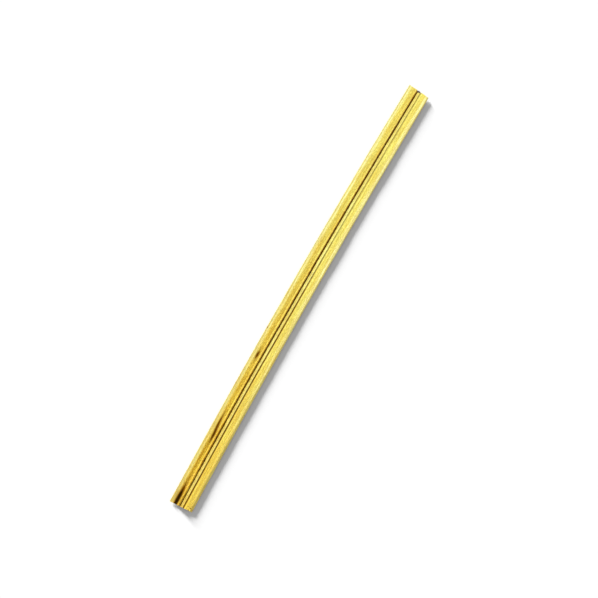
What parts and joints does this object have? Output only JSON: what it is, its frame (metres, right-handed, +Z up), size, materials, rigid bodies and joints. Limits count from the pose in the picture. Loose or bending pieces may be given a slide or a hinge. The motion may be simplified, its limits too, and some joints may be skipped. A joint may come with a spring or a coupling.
{
  "type": "twist tie",
  "caption": "Flat gold metallised-film twist tie with a soft wire ridge down its middle, cut square at both ends, bending and twisting along its length.",
  "frame": {"origin": "on the table, under the middle of the strip's bounding box", "axes": "+X along the strip, +Y across it towards the outside of its slight sideways bow, +Z up out of its face"},
  "size_m": [0.08, 0.0044, 0.0007],
  "materials": {
    "gold_film": "gold metallised, glossy with a fine satin grain",
    "soft_wire": "annealed steel, dull, bright where it is sheared",
    "heat_seal": "translucent hot-melt adhesive"
  },
  "bodies": {
    "stretch_1": {"core_wire_1": "soft_wire", "upper_film_1": "gold_film", "lower_film_1": "gold_film", "left_seal_1": "heat_seal", "right_seal_1": "heat_seal"},
    "stretch_2": {"core_wire_2": "soft_wire", "upper_film_2": "gold_film", "lower_film_2": "gold_film", "left_seal_2": "heat_seal", "right_seal_2": "heat_seal"},
    "stretch_3": {"core_wire_3": "soft_wire", "upper_film_3": "gold_film", "lower_film_3": "gold_film", "left_seal_3": "heat_seal", "right_seal_3": "heat_seal"},
    "stretch_4": {"core_wire_4": "soft_wire", "upper_film_4": "gold_film", "lower_film_4": "gold_film", "left_seal_4": "heat_seal", "right_seal_4": "heat_seal"},
    "stretch_5": {"core_wire_5": "soft_wire", "upper_film_5": "gold_film", "lower_film_5": "gold_film", "left_seal_5": "heat_seal", "right_seal_5": "heat_seal"},
    "stretch_6": {"core_wire_6": "soft_wire", "upper_film_6": "gold_film", "lower_film_6": "gold_film", "left_seal_6": "heat_seal", "right_seal_6": "heat_seal"},
    "stretch_7": {"core_wire_7": "soft_wire", "upper_film_7": "gold_film", "lower_film_7": "gold_film", "left_seal_7": "heat_seal", "right_seal_7": "heat_seal"},
    "stretch_8": {"core_wire_8": "soft_wire", "upper_film_8": "gold_film", "lower_film_8": "gold_film", "left_seal_8": "heat_seal", "right_seal_8": "heat_seal"},
    "stretch_9": {"core_wire_9": "soft_wire", "upper_film_9": "gold_film", "lower_film_9": "gold_film", "left_seal_9": "heat_seal", "right_seal_9": "heat_seal"}
  },
  "joints": [
    {"name": "twist_1", "type": "hinge", "parent": "stretch_2", "child": "stretch_1", "pos_m": [-0.0275, 0.00001, 0.00035], "axis": [-0.9999, -0.0172, 0], "range_deg": [-90, 90]},
    {"name": "bend_1", "type": "hinge", "parent": "stretch_3", "child": "stretch_2", "pos_m": [-0.015, 0.00018, 0.00035], "axis": [-0.0094, 1, 0], "range_deg": [-35, 35]},
    {"name": "bend_2", "type": "hinge", "parent": "stretch_4", "child": "stretch_3", "pos_m": [-0.009, 0.00022, 0.00035], "axis": [-0.0056, 1, 0], "range_deg": [-35, 35]},
    {"name": "bend_3", "type": "hinge", "parent": "stretch_5", "child": "stretch_4", "pos_m": [-0.003, 0.00025, 0.00035], "axis": [-0.0019, 1, 0], "range_deg": [-35, 35]},
    {"name": "bend_4", "type": "hinge", "parent": "stretch_5", "child": "stretch_6", "pos_m": [0.003, 0.00025, 0.00035], "axis": [-0.0019, -1, 0], "range_deg": [-35, 35]},
    {"name": "bend_5", "type": "hinge", "parent": "stretch_6", "child": "stretch_7", "pos_m": [0.009, 0.00022, 0.00035], "axis": [-0.0056, -1, 0], "range_deg": [-35, 35]},
    {"name": "bend_6", "type": "hinge", "parent": "stretch_7", "child": "stretch_8", "pos_m": [0.015, 0.00018, 0.00035], "axis": [-0.0094, -1, 0], "range_deg": [-35, 35]},
    {"name": "twist_2", "type": "hinge", "parent": "stretch_8", "child": "stretch_9", "pos_m": [0.0275, 0.00001, 0.00035], "axis": [0.9999, -0.0172, 0], "range_deg": [-90, 90]}
  ]
}
